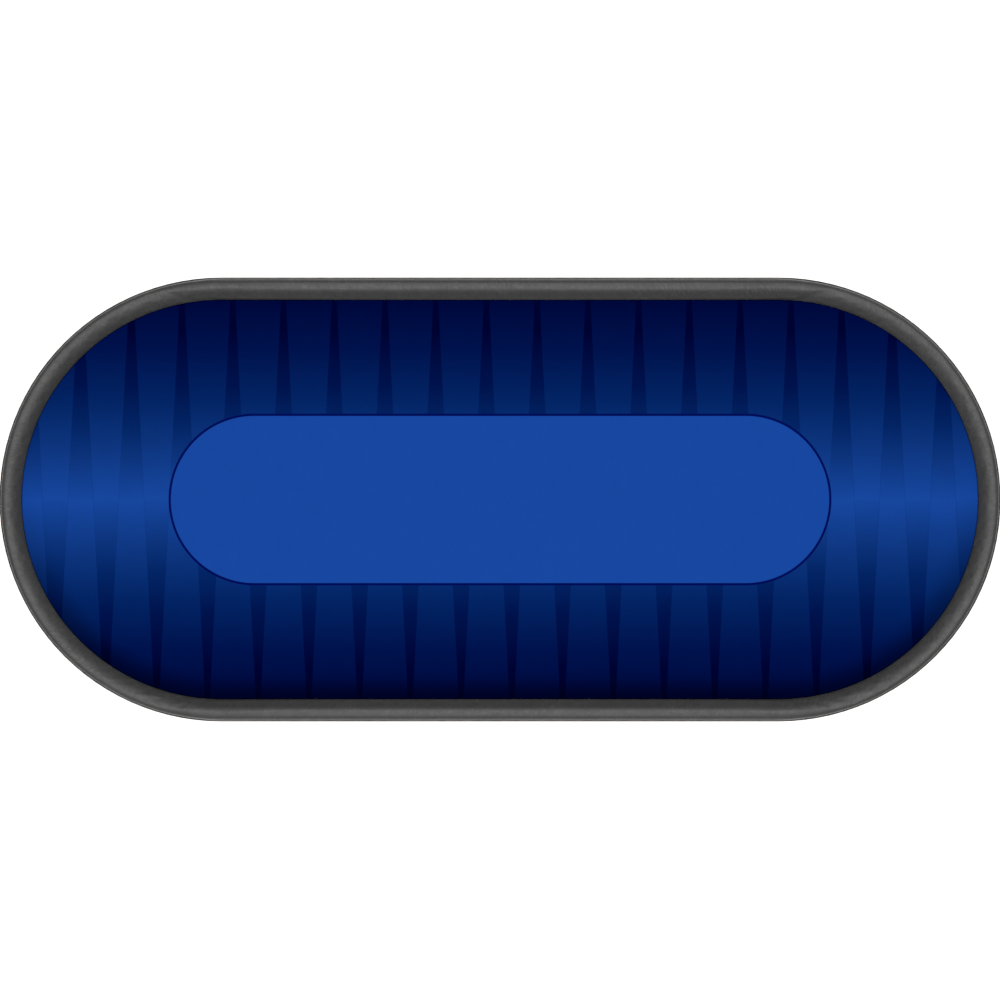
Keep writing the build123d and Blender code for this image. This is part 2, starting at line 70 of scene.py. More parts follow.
OUTER_RADIUS = rail_high.y
HALF_STRAIGHT = rail_high.x - OUTER_RADIUS
RAIL_WIDTH = 0.0515
RAIL_CROWN_SETBACK = 0.015  # also the radius from the outer wall to the crown
RAIL_INNER_RADIUS = 0.028
RAIL_INNER_SLOPE = 44.0  # degrees
RAIL_NOSE_RADIUS = 0.005
RAIL_TOP = rail_high.z
RAIL_BOTTOM = rail_low.z
CLOTH_RADIUS = cloth_high.y
CLOTH_TOP = cloth_high.z
CLOTH_THICKNESS = cloth_high.z - foam_high.z
CLOTH_HEM = 0.030
STEP_ALONG = 0.0065  # spacing of points round the table


# ---------------------------------------------------------------- node graphs
def linear(red, green, blue):
    """A screen colour, 0 to 255, as the linear colour that a shader takes."""
    shares = [level / 255 for level in (red, green, blue)]
    return [share / 12.92 if share <= 0.04045 else ((share + 0.055) / 1.055) ** 2.4 for share in shares]


class Graph:
    """Builds one procedural material. Coordinates are the object's own, in metres."""

    def __init__(self, name):
        self.material = bpy.data.materials.new(name)
        self.material.use_nodes = True
        self.tree = self.material.node_tree
        self.shader = self.tree.nodes["Principled BSDF"]
        self.place = self.node("ShaderNodeTexCoord").outputs["Object"]

    def node(self, kind, inputs=(), **settings):
        made = self.tree.nodes.new(kind)
        for name, value in settings.items():
            setattr(made, name, value)
        for name, value in dict(inputs).items():
            self.feed(made.inputs[name], value)
        return made

    def feed(self, socket, value):
        if isinstance(value, bpy.types.NodeSocket):
            self.tree.links.new(value, socket)
        elif isinstance(value, (list, tuple)) and socket.type == "RGBA":
            socket.default_value = [*value[:3], 1.0]
        else:
            socket.default_value = value

    def set(self, **values):
        """Sets the shader's own sockets: base_color becomes Base Color."""
        for name, value in values.items():
            self.feed(self.shader.inputs[SOCKETS[name]], value)

    def math(self, operation, a, b=0.0, c=0.0):
        return self.node("ShaderNodeMath", {0: a, 1: b, 2: c}, operation=operation).outputs[0]

    def stretched(self, x=1.0, y=1.0, z=1.0, turn=(0.0, 0.0, 0.0)):
        inputs = {"Vector": self.place, "Rotation": turn, "Scale": (x, y, z)}
        return self.node("ShaderNodeMapping", inputs).outputs[0]

    def noise(self, scale, detail=3.0, rough=0.55, place=None, distortion=0.0):
        inputs = {
            "Vector": place or self.place,
            "Scale": scale,
            "Detail": detail,
            "Roughness": rough,
            "Distortion": distortion,
        }
        return self.node("ShaderNodeTexNoise", inputs).outputs["Fac"]

    def cells(self, scale, feature="F1"):
        inputs = {"Vector": self.place, "Scale": scale, "Randomness": 1.0}
        return self.node("ShaderNodeTexVoronoi", inputs, feature=feature).outputs["Distance"]

    def bands(self, direction, scale):
        inputs = {"Vector": self.place, "Scale": scale}
        return self.node("ShaderNodeTexWave", inputs, bands_direction=direction).outputs["Fac"]

    def span(self, value, low, high, to_low=0.0, to_high=1.0, smooth=False):
        kind = "SMOOTHSTEP" if smooth else "LINEAR"
        inputs = {"Value": value, "From Min": low, "From Max": high, "To Min": to_low, "To Max": to_high}
        return self.node("ShaderNodeMapRange", inputs, interpolation_type=kind).outputs[0]

    def ramp(self, value, stops):
        made = self.node("ShaderNodeValToRGB", {"Fac": value})
        elements = made.color_ramp.elements
        while len(elements) < len(stops):
            elements.new(0.5)
        for element, (place, colour) in zip(elements, stops):
            element.position = place
            element.color = [*colour, 1.0]
        return made.outputs[0]

    def mix(self, share, first, second):
        made = self.node("ShaderNodeMix", data_type="RGBA")
        colour_inputs = [socket for socket in made.inputs if socket.type == "RGBA"]
        self.feed(made.inputs[0], share)
        self.feed(colour_inputs[0], first)
        self.feed(colour_inputs[1], second)
        return [socket for socket in made.outputs if socket.type == "RGBA"][0]

    def round_the_oval(self, half_straight):
        """Distance from the line between the ends' centres, and travel round it, signed as x is."""
        split = self.node("ShaderNodeSeparateXYZ", {0: self.place})
        along = self.math("ABSOLUTE", split.outputs[0])
        out = self.math("ABSOLUTE", split.outputs[1])
        past = self.math("MAXIMUM", self.math("SUBTRACT", along, half_straight), 0.0)
        square = self.math("MULTIPLY_ADD", past, past, self.math("MULTIPLY", out, out))
        turn = self.math("ARCTAN2", past, out)
        travel = self.math("MULTIPLY_ADD", turn, OUTER_RADIUS, self.math("MINIMUM", along, half_straight))
        travel = self.math("MULTIPLY", travel, self.math("SIGN", split.outputs[0]))
        return self.math("SQRT", square), travel

    def bump(self, height, distance, strength, under=None):
        inputs = {"Height": height, "Distance": distance, "Strength": strength}
        if under is not None:
            inputs["Normal"] = under
        return self.node("ShaderNodeBump", inputs).outputs[0]


SOCKETS = {
    "base_color": "Base Color",
    "roughness": "Roughness",
    "metallic": "Metallic",
    "normal": "Normal",
    "ior_level": "Specular IOR Level",
    "emission": "Emission Color",
    "emission_strength": "Emission Strength",
}


# ---------------------------------------------------------------- materials
CREASE_SKEW = 0.45  # travel along the rail for each unit across it
CREASE_STRETCH = 0.16  # below 1, creases are long across the rail


def rail_vinyl():
    """Charcoal upholstery vinyl: pebble grain, fine creases across the pad, shinier where it is lighter."""
    g = Graph("rail_vinyl")
    reach, travel = g.round_the_oval(HALF_STRAIGHT)
    side = g.math("SIGN", g.node("ShaderNodeSeparateXYZ", {0: g.place}).outputs[1])
    skew = g.math("MULTIPLY_ADD", reach, CREASE_SKEW, travel)
    flow = g.node("ShaderNodeCombineXYZ", {0: skew, 1: g.math("MULTIPLY", reach, CREASE_STRETCH), 2: side})
    creased = g.noise(380.0, 3.0, 0.6, flow.outputs[0], 0.4)
    patches = g.span(g.noise(11.0, 4.0, 0.6), 0.38, 0.66)
    broad = g.noise(34.0, 4.0, 0.6)
    mottled = g.noise(150.0, 5.0, 0.7, distortion=0.6)
    tone = g.math("MULTIPLY", g.math("SUBTRACT", creased, 0.5), g.span(patches, 0.0, 1.0, 0.25, 1.0))
    tone = g.math("MULTIPLY_ADD", g.math("SUBTRACT", mottled, 0.5), 0.55, tone)
    tone = g.math("MULTIPLY_ADD", g.math("SUBTRACT", broad, 0.5), 0.30, tone)
    shades = [(0.30, (0.007, 0.007, 0.007)), (0.50, (0.012, 0.012, 0.0118)), (0.70, (0.022, 0.022, 0.022))]
    colour = g.ramp(g.math("ADD", tone, 0.5), shades)
    pebbles = g.cells(820.0, feature="SMOOTH_F1")
    folds = g.span(g.cells(240.0, feature="DISTANCE_TO_EDGE"), 0.0, 0.12, 0.0, 1.0, True)
    grain = g.math("MULTIPLY_ADD", pebbles, -0.7, g.math("MULTIPLY", folds, 0.3))
    g.set(base_color=colour, roughness=g.span(tone, -0.25, 0.25, 0.62, 0.48), ior_level=0.38)
    g.set(normal=g.bump(grain, 0.00022, 0.8, g.bump(tone, 0.0005, 0.4)))
    return g.material


# The printed pattern, in metres from the table's middle.
PRINT_PERIOD = 0.1236
PRINT_START = -0.033
PRINT_WEDGE_AT_MIDDLE = PRINT_PERIOD / 4
PRINT_WEDGE_AT_RAIL = 0.0058
PRINT_WEDGE_STEP = 0.010  # a wedge has the colour that the field has further out: by this much,
PRINT_WEDGE_GAIN = 0.28  # and by this share of its own distance from the middle
PRINT_HAIRLINE_STEP = 0.038  # the wedges are outlined faintly near the middle
PRINT_OVAL_HALF_STRAIGHT = 0.5983
PRINT_OVAL_RADIUS = 0.2037
PRINT_LINE_WIDTH = 0.0055
PRINT_REACH = 0.54
PRINT_FIELD = [
    (0.000, (23, 70, 157)),
    (0.073, (18, 61, 140)),
    (0.146, (12, 50, 121)),
    (0.244, (3, 35, 98)),
    (0.366, (0, 18, 76)),
    (0.488, (0, 7, 58)),
    (0.540, (0, 3, 48)),
]
PRINT_INNER = (23, 70, 158)
PRINT_LINE = (2, 12, 84)
PAINTED_RAIL_SHADOW_WIDTH = 0.070  # painted shadow of the front rail: the cloth is darkened along its front edge over this width
PAINTED_RAIL_SHADOW_DEPTH = 0.60
PRINT_GAIN = 0.53  # the light is strong, so a dye is this share of the colour that it should look
PRINT_SOFTNESS = 0.0008  # a printed edge blurs over this distance, each way
PRINT_OVAL_SOFTNESS = 0.0006
PRINT_LINE_SOFTNESS = 0.0005
PRINT_HAIRLINE_CORE = 0.0004
PRINT_HAIRLINE_EDGE = 0.0016
PRINT_HAIRLINE_END = 0.25  # hairlines have faded out at this distance from the middle
WEAVE_SCALE = 260.0


def dye(colour):
    return [c * PRINT_GAIN for c in linear(*colour)]


def playing_cloth():
    """Dye-printed cloth: a shaded field with tapering wedges, an outlined oval, a fine weave, and a painted
    shadow along the front rail.
    """
    g = Graph("playing_cloth")
    split = g.node("ShaderNodeSeparateXYZ", {0: g.place})
    x, y = split.outputs[0], split.outputs[1]
    out = g.math("ABSOLUTE", y)

    front = g.math("LESS_THAN", y, 0.0)
    shifted = g.math("SUBTRACT", x, PRINT_START)
    shifted = g.math("MULTIPLY_ADD", front, PRINT_PERIOD / 2, shifted)
    turns = g.math("FRACT", g.math("MULTIPLY_ADD", shifted, 1 / PRINT_PERIOD, 100.5))
    aside = g.math("MULTIPLY", g.math("ABSOLUTE", g.math("SUBTRACT", turns, 0.5)), PRINT_PERIOD)
    half_width = g.span(out, 0.0, CLOTH_RADIUS, PRINT_WEDGE_AT_MIDDLE, PRINT_WEDGE_AT_RAIL)
    step = g.math("MULTIPLY_ADD", out, PRINT_WEDGE_GAIN, PRINT_WEDGE_STEP)
    past_edge = g.math("SUBTRACT", aside, half_width)
    wedge = g.span(past_edge, -PRINT_SOFTNESS, PRINT_SOFTNESS, 1.0, 0.0, True)
    off_edge = g.math("ABSOLUTE", past_edge)
    hairline = g.span(off_edge, PRINT_HAIRLINE_CORE, PRINT_HAIRLINE_EDGE, 1.0, 0.0, True)
    hairline_step = g.span(out, 0.0, PRINT_HAIRLINE_END, PRINT_HAIRLINE_STEP, 0.0)
    hairline = g.math("MULTIPLY", hairline, hairline_step)
    depth = g.math("MULTIPLY_ADD", wedge, step, g.math("ADD", out, hairline))
    stops = [(at / PRINT_REACH, dye(colour)) for at, colour in PRINT_FIELD]
    field = g.ramp(g.math("DIVIDE", depth, PRINT_REACH), stops)

    oval_reach, _ = g.round_the_oval(PRINT_OVAL_HALF_STRAIGHT)
    from_oval = g.math("SUBTRACT", oval_reach, PRINT_OVAL_RADIUS)
    outside = g.span(from_oval, -PRINT_OVAL_SOFTNESS, PRINT_OVAL_SOFTNESS, 0.0, 1.0, True)
    half_line = PRINT_LINE_WIDTH / 2
    off_line = g.math("ABSOLUTE", g.math("SUBTRACT", from_oval, half_line))
    line_core, line_edge = half_line - PRINT_LINE_SOFTNESS, half_line + PRINT_LINE_SOFTNESS
    line = g.span(off_line, line_core, line_edge, 1.0, 0.0, True)
    printed = g.mix(line, g.mix(outside, dye(PRINT_INNER), field), dye(PRINT_LINE))

    # Painted shadow: the cloth is darkened near the front rail, as if that rail cast a shadow on it.
    reach, _ = g.round_the_oval(HALF_STRAIGHT)
    towards_front = g.span(g.math("DIVIDE", y, reach), -0.9, 0.1, 1.0, 0.0, True)
    near_rail = g.span(reach, CLOTH_RADIUS - PAINTED_RAIL_SHADOW_WIDTH, CLOTH_RADIUS, 0.0, PAINTED_RAIL_SHADOW_DEPTH, True)
    painted_front_rail_shadow = g.math("SUBTRACT", 1.0, g.math("MULTIPLY", near_rail, towards_front))

    threads = g.noise(1500.0, 2.0, 0.5, g.stretched(1.0, 0.25, 1.0))
    cloud = g.noise(22.0, 3.0, 0.5)
    worn = g.math("MULTIPLY_ADD", threads, 0.16, g.math("MULTIPLY", cloud, 0.10))
    # Random thread and cloud tone, multiplied by the painted rail shadow.
    tone_and_painted_shadow = g.math("MULTIPLY", g.span(worn, 0.05, 0.21, 0.94, 1.06), painted_front_rail_shadow)
    colour = g.node("ShaderNodeVectorMath", {0: printed, "Scale": tone_and_painted_shadow}, operation="SCALE").outputs[0]

    weave = g.math("MULTIPLY", g.bands("X", WEAVE_SCALE), g.bands("Y", WEAVE_SCALE))
    g.set(base_color=colour, roughness=g.span(threads, 0.3, 0.7, 0.95, 0.82), ior_level=0.0)
    g.set(normal=g.bump(weave, 0.00018, 0.7, g.bump(threads, 0.0001, 0.5)))
    return g.material


def foam():
    """Open-cell upholstery foam, slightly yellowed, with painted shade in its pores."""
    g = Graph("foam")
    pores = g.cells(650.0)
    patches = g.noise(30.0, 3.0)
    colour = g.mix(patches, (0.62, 0.57, 0.40), (0.72, 0.67, 0.52))
    # Painted shade: each pore is darkened towards its middle, as if shadowed inside.
    colour = g.mix(g.span(pores, 0.0, 0.6, 0.35, 0.0), colour, (0.30, 0.26, 0.17))
    g.set(base_color=colour, roughness=g.span(patches, 0.3, 0.7, 0.9, 1.0), ior_level=0.2)
    g.set(normal=g.bump(pores, 0.0006, 0.8))
    return g.material


PLY_THICKNESS = 0.0028
PLYWOOD_STRETCH = 14.0  # how much longer than wide the grain's marks are
PAINTED_STRETCH = 16.0


def wood(name, dark, light, along="x", plies=False):
    """Sawn or peeled wood with its grain along one axis. Plywood also shows its layers on the edge."""
    g = Graph(name)
    place = g.stretched(*(1.0 if axis == along else PLYWOOD_STRETCH for axis in "xyz"))
    flow = g.noise(2.2, 4.0, 0.5, place, 0.8)
    rings = g.math("FRACT", g.math("MULTIPLY", flow, 9.0))
    rings = g.math("PINGPONG", rings, 0.5)
    fibres = g.noise(38.0, 3.0, 0.7, place)
    tone = g.math("MULTIPLY_ADD", rings, 0.9, g.math("MULTIPLY", fibres, 0.55))
    colour = g.mix(g.span(tone, 0.15, 0.75), dark, light)
    if plies:
        height = g.node("ShaderNodeSeparateXYZ", {0: g.place}).outputs[2]
        layer = g.math("PINGPONG", g.math("MULTIPLY", height, 1 / PLY_THICKNESS), 1.0)
        normal = g.node("ShaderNodeSeparateXYZ", {0: g.node("ShaderNodeNewGeometry").outputs["Normal"]})
        edge_on = g.span(g.math("ABSOLUTE", normal.outputs[2]), 0.3, 0.6, 1.0, 0.0)
        dark_ply = g.math("MULTIPLY", edge_on, g.math("GREATER_THAN", layer, 0.5))
        colour = g.mix(g.math("MULTIPLY", dark_ply, 0.6), colour, [c * 0.45 for c in dark])
    g.set(base_color=colour, roughness=g.span(fibres, 0.3, 0.7, 0.72, 0.55), ior_level=0.35)
    g.set(normal=g.bump(fibres, 0.0003, 0.5, g.bump(rings, 0.0002, 0.4)))
    return g.material


def painted_wood(name, along):
    """Black satin paint over poplar: the grain still telegraphs, and brush-marks and scuffs show."""
    g = Graph(name)
    place = g.stretched(*(1.0 if axis == along else PAINTED_STRETCH for axis in "xyz"))
    grain = g.noise(30.0, 4.0, 0.65, place)
    strokes = g.noise(120.0, 2.0, 0.5, place)
    scuffs = g.noise(55.0, 5.0, 0.75, distortion=1.5)
    scuffed = g.span(scuffs, 0.64, 0.74, 0.0, 1.0)
    colour = g.mix(g.span(grain, 0.3, 0.7), (0.010, 0.010, 0.011), (0.020, 0.020, 0.021))
    colour = g.mix(g.math("MULTIPLY", scuffed, 0.5), colour, (0.065, 0.062, 0.058))
    g.set(base_color=colour, roughness=g.span(scuffed, 0.0, 1.0, 0.36, 0.62), ior_level=0.5)
    g.set(normal=g.bump(grain, 0.0003, 0.45, g.bump(strokes, 0.0001, 0.4)))
    return g.material


def powder_coat():
    """Black powder-coated steel tube: fine orange peel, dust and light scratches."""
    g = Graph("black_steel")
    peel = g.noise(620.0, 2.0, 0.5)
    dust = g.noise(40.0, 5.0, 0.7)
    scratch = g.noise(210.0, 2.0, 0.5, g.stretched(5.0, 5.0, 0.35, (0.3, 0.2, 0.0)))
    scratched = g.span(scratch, 0.68, 0.72, 0.0, 1.0)
    colour = g.mix(g.span(dust, 0.35, 0.75), (0.009, 0.009, 0.010), (0.021, 0.021, 0.022))
    colour = g.mix(g.math("MULTIPLY", scratched, 0.35), colour, (0.10, 0.10, 0.10))
    g.set(base_color=colour, roughness=g.span(dust, 0.3, 0.7, 0.34, 0.50), ior_level=0.55)
    g.set(normal=g.bump(peel, 0.00018, 0.6))
    return g.material


def zinc_plate():
    """Bright zinc plating: spangle, faint yellow and blue passivate, drawn lines."""
    g = Graph("zinc_steel")
    cloud = g.noise(60.0, 4.0, 0.6)
    drawn = g.noise(500.0, 2.0, 0.6, g.stretched(0.15, 1.0, 1.0))
    shades = [(0.3, (0.46, 0.48, 0.52)), (0.5, (0.56, 0.56, 0.55)), (0.7, (0.60, 0.57, 0.48))]
    colour = g.ramp(cloud, shades)
    colour = g.mix(g.span(drawn, 0.55, 0.75, 0.0, 0.35), colour, (0.30, 0.30, 0.31))
    g.set(base_color=colour, metallic=1.0, roughness=g.span(drawn, 0.3, 0.7, 0.26, 0.42))
    g.set(normal=g.bump(drawn, 0.0001, 0.5))
    return g.material


def moulded(name, dark, light, roughness, grain, ior_level=0.4):
    """Moulded plastic or rubber with a fine mould texture and a little dust."""
    g = Graph(name)
    patches = g.noise(45.0, 4.0, 0.6)
    fine = g.noise(grain, 2.0, 0.5)
    tone = g.math("MULTIPLY_ADD", fine, 0.4, g.math("MULTIPLY", patches, 0.6))
    g.set(base_color=g.mix(g.span(tone, 0.35, 0.65), dark, light), ior_level=ior_level)
    g.set(roughness=g.span(patches, 0.3, 0.7, roughness - 0.06, roughness + 0.08))
    g.set(normal=g.bump(fine, 0.0002, 0.6))
    return g.material


VINYL = rail_vinyl()
CLOTH = playing_cloth()
FOAM = foam()
PLYWOOD = wood("plywood", (0.40, 0.27, 0.14), (0.62, 0.47, 0.28), plies=True)
BLOCK_WOOD = wood("block_wood", (0.42, 0.27, 0.12), (0.60, 0.42, 0.22), along="z")
PAINT_ALONG_X = painted_wood("painted_wood_long", "x")
PAINT_ALONG_Y = painted_wood("painted_wood_end", "y")
BLACK_STEEL = powder_coat()
ZINC = zinc_plate()
EDGE_PLASTIC = moulded("edge_plastic", (0.008, 0.008, 0.009), (0.016, 0.016, 0.017), 0.66, 900.0, 0.15)
NYLON = moulded("nylon", (0.55, 0.54, 0.49), (0.70, 0.69, 0.64), 0.45, 700.0)
RUBBER = moulded("foot_rubber", (0.012, 0.012, 0.012), (0.034, 0.033, 0.032), 0.72, 1200.0)

SLOT_MATERIALS = {
    "plywood": PLYWOOD,
    "solid_wood": BLOCK_WOOD,
    "painted_wood": PAINT_ALONG_X,
    "black_steel": BLACK_STEEL,
    "zinc_steel": ZINC,
    "edge_plastic": EDGE_PLASTIC,
    "nylon": NYLON,
    "foot_rubber": RUBBER,
    "rail_vinyl": VINYL,
    "playing_cloth": CLOTH,
    "foam": FOAM,
}


def dress(piece, material):
    piece.data.materials.clear()
    piece.data.materials.append(material)


def dress_frame():
    """Gives every CAD node the material of its slot."""
    for part in frame["record"]["subparts"]:
        dress(frame["nodes"][part["node"]], SLOT_MATERIALS[part["material_slot"]])
    for node in ("apron_left", "apron_right"):
        dress(frame["nodes"][node], PAINT_ALONG_Y)


# ---------------------------------------------------------------- shapes round the oval
def stations(radius):
    """Places round the table: (x of the oval's own centre, outward direction), evenly along the edge."""
    along = round(2 * HALF_STRAIGHT / STEP_ALONG)
    around = round(math.pi * radius / STEP_ALONG)
    places = []
    for side in (-1, 1):
        for i in range(along):
            x = side * (HALF_STRAIGHT - 2 * HALF_STRAIGHT * i / along)
            places.append((x, Vector((0, side, 0))))
        for i in range(around):
            angle = side * math.pi / 2 + math.pi * i / around
            places.append((side * -HALF_STRAIGHT, Vector((math.cos(angle), math.sin(angle), 0))))
    return places


def swept(name, places, section, closed=True):
    """A band of quads. section holds (distance from the oval's own centre line, height) pairs."""
    rows = [[Vector((x, 0, z)) + out * reach for reach, z in section] for x, out in places]
    count = len(section)
    points = [point for row in rows for point in row]
    quads = []
    for i in range(len(rows)):
        following = (i + 1) % len(rows)
        for j in range(count if closed else count - 1):
            k = (j + 1) % count
            quads.append((i * count + j, following * count + j, following * count + k, i * count + k))
    return mesh_object(name, points, quads)


def mesh_object(name, points, faces):
    mesh = bpy.data.meshes.new(name)
    mesh.from_pydata(points, [], faces)
    mesh.validate()
    mesh.polygons.foreach_set("use_smooth", [True] * len(mesh.polygons))
    made = bpy.data.objects.new(name, mesh)
    scene.collection.objects.link(made)
    return made


def arc(centre, radius, start, end, count):
    """Points on part of a circle, angles in degrees, without the first."""
    points = []
    for i in range(1, count + 1):
        angle = math.radians(start + (end - start) * i / count)
        points.append((centre[0] + radius * math.cos(angle), centre[1] + radius * math.sin(angle)))
    return points


def shoulder_curve(centre, radius, count):
    """A quarter turn, a little squarer than a circle, from level with the centre to above it."""
    points = []
    for i in range(1, count + 1):
        angle = math.radians(90 * i / count)
        across = radius * math.cos(angle) ** RAIL_SHOULDER_POWER
        up = radius * math.sin(angle) ** RAIL_SHOULDER_POWER
        points.append((centre[0] + across, centre[1] + up))
    return points


def run(start, end, count):
    """Points along a straight line, without the first."""
    return [
        (start[0] + (end[0] - start[0]) * i / count, start[1] + (end[1] - start[1]) * i / count)
        for i in range(1, count + 1)
    ]


# ---------------------------------------------------------------- the padded rail
RAIL_SHRINK = 0.0010  # the pad starts this much small, and swells
RAIL_SHOULDER_POWER = 0.7  # 1 is a circle
RAIL_FOOT_ROUND = 0.0015
RAIL_SWELL_CAP = 0.0016  # no point moves further than this
RAIL_SWELL_FRAMES = 20
RAIL_PINNED_HEIGHT = 0.006
STAPLE_SPACING = 0.045
STAPLE_PULL = 0.0007
STAPLE_FADE = 0.003  # the foot itself stays put, and the pull is whole this far above it
STAPLE_PULL_DROP = 1.6  # the pull has faded out at 1 / this of the pad's height
UNEVENNESS = 0.0004
UNEVENNESS_SCALE = 9.0


def rail_section():
    """The pad's section, as distance from the oval's centre line and height, from the outer foot over."""
    slope = math.radians(RAIL_INNER_SLOPE)
    crown = OUTER_RADIUS - RAIL_CROWN_SETBACK
    outer = OUTER_RADIUS - RAIL_SHRINK
    inner = OUTER_RADIUS - RAIL_WIDTH
    shoulder = RAIL_TOP - RAIL_CROWN_SETBACK
    outer_round = RAIL_CROWN_SETBACK - RAIL_SHRINK
    inner_round = RAIL_INNER_RADIUS - RAIL_SHRINK
    slope_start_z = RAIL_TOP - RAIL_INNER_RADIUS * (1 - math.cos(slope))
    slope_run = RAIL_WIDTH - RAIL_CROWN_SETBACK
    slope_run -= RAIL_NOSE_RADIUS * (1 - math.sin(slope)) + RAIL_INNER_RADIUS * math.sin(slope)
    nose_z = slope_start_z - slope_run * math.tan(slope) - RAIL_NOSE_RADIUS * math.cos(slope)
    nose = (inner + RAIL_NOSE_RADIUS, nose_z)
    slope_end = 90 + RAIL_INNER_SLOPE
    nose_start = arc(nose, RAIL_NOSE_RADIUS, slope_end, slope_end, 1)[0]
    foot = RAIL_FOOT_ROUND
    points = [(OUTER_RADIUS - foot, RAIL_BOTTOM)]
    points += arc((OUTER_RADIUS - foot, RAIL_BOTTOM + foot), foot, -90, 0, 3)
    points += run(points[-1], (outer, shoulder), 6)
    points += shoulder_curve((crown, shoulder), outer_round, 10)
    points += arc((crown, RAIL_TOP - RAIL_INNER_RADIUS), inner_round, 90, slope_end, 8)
    points += run(points[-1], nose_start, 7)
    points += arc(nose, RAIL_NOSE_RADIUS, slope_end, 180, 3)
    points += run(points[-1], (inner, RAIL_BOTTOM + foot), 4)
    points += arc((inner + foot, RAIL_BOTTOM + foot), foot, 180, 270, 3)
    points += run(points[-1], points[0], 10)[:-1]
    return points


def spine(point):
    """The nearest point on the line between the two ends' centres."""
    return Vector((max(-HALF_STRAIGHT, min(HALF_STRAIGHT, point.x)), 0, point.z))


def pull_at_staples(pad):
    """Stapling draws the vinyl in, low on the outer wall, and the pad's outer half is slightly uneven."""
    for vertex in pad.data.vertices:
        height = vertex.co.z - RAIL_BOTTOM
        above_foot = min(1.0, height / STAPLE_FADE)
        low = max(0.0, 1.0 - height / (RAIL_TOP - RAIL_BOTTOM) * STAPLE_PULL_DROP) * above_foot
        out = vertex.co - spine(vertex.co)
        if out.length < OUTER_RADIUS - RAIL_WIDTH / 2:
            continue
        travel = spine(vertex.co).x + math.atan2(out.y, out.x) * OUTER_RADIUS
        pull = 0.5 + 0.5 * math.cos(2 * math.pi * travel / STAPLE_SPACING)
        uneven = noise.noise(vertex.co * UNEVENNESS_SCALE) * above_foot
        vertex.co -= out.normalized() * (STAPLE_PULL * pull * low + UNEVENNESS * uneven)


def against_the_board(point):
    """The pad can't swell inwards past its inner wall, where it bears on the edge of the playfield."""
    out = point - spine(point)
    reach = max(out.length, OUTER_RADIUS - RAIL_WIDTH)
    return spine(point) + out.normalized() * reach


def swell(pad):
    """Cloth simulation: the vinyl is held along its stapled foot and blown out by the foam."""
    pinned = pad.vertex_groups.new(name="stapled")
    for vertex in pad.data.vertices:
        height = vertex.co.z - RAIL_BOTTOM
        if height < RAIL_PINNED_HEIGHT:
            pinned.add([vertex.index], 1.0, "REPLACE")
    start = [vertex.co.copy() for vertex in pad.data.vertices]
    modifier = pad.modifiers.new("Cloth", "CLOTH")
    modifier.settings.quality = 5
    modifier.settings.mass = 0.5
    modifier.settings.tension_stiffness = 25
    modifier.settings.compression_stiffness = 25
    modifier.settings.bending_stiffness = 2
    modifier.settings.use_pressure = True
    modifier.settings.uniform_pressure_force = 4
    modifier.settings.vertex_group_mass = "stapled"
    modifier.settings.effector_weights.gravity = 0
    for number in range(1, RAIL_SWELL_FRAMES + 1):
        scene.frame_set(number)
    shape = pad.evaluated_get(bpy.context.evaluated_depsgraph_get()).data
    moved = [vertex.co.copy() for vertex in shape.vertices]
    pad.modifiers.remove(modifier)
    for vertex, old, new in zip(pad.data.vertices, start, moved):
        step = new - old
        if step.length > RAIL_SWELL_CAP:
            step *= RAIL_SWELL_CAP / step.length
        vertex.co = against_the_board(old + step)
    scene.frame_set(1)


def make_rail():
    pad = swept("rail_pad", stations(OUTER_RADIUS), rail_section())
    pull_at_staples(pad)
    swell(pad)
    smooth = pad.modifiers.new("Subdivision", "SUBSURF")
    smooth.levels = 1
    smooth.render_levels = 1
    dress(pad, VINYL)
    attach(pad, "table_top")
    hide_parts("rail_cover", "rail_foam")


# ---------------------------------------------------------------- the playfield
CLOTH_EDGE_ROUND = 0.003
CLOTH_FOLD_ROUND = 0.001
CLOTH_SHARE = 0.9  # the sheet's thickness as a share of the CAD cloth's
CLOTH_EASE = 0.00025  # the top is uneven by up to this much
CLOTH_EASE_SCALE = 3.5
DISC_SPREAD = 0.8  # below 1, the rings lie closer together towards the edge
TOUCHING = 1e-5


def disc_section(radius, top, steps=26):
    """From the table's centre line out to the rounded edge."""
    flat = radius - CLOTH_EDGE_ROUND
    points = [(flat * (i / steps) ** DISC_SPREAD, top) for i in range(steps + 1)]
    return points + arc((flat, top - CLOTH_EDGE_ROUND), CLOTH_EDGE_ROUND, 90, 0, 5)


def weld(piece):
    """Joins the points that meet along the centre line."""
    weld_modifier = piece.modifiers.new("Weld", "WELD")
    weld_modifier.merge_threshold = TOUCHING
    shape = piece.evaluated_get(bpy.context.evaluated_depsgraph_get())
    mesh = bpy.data.meshes.new_from_object(shape)
    piece.modifiers.remove(weld_modifier)
    old = piece.data
    piece.data = mesh
    bpy.data.meshes.remove(old)


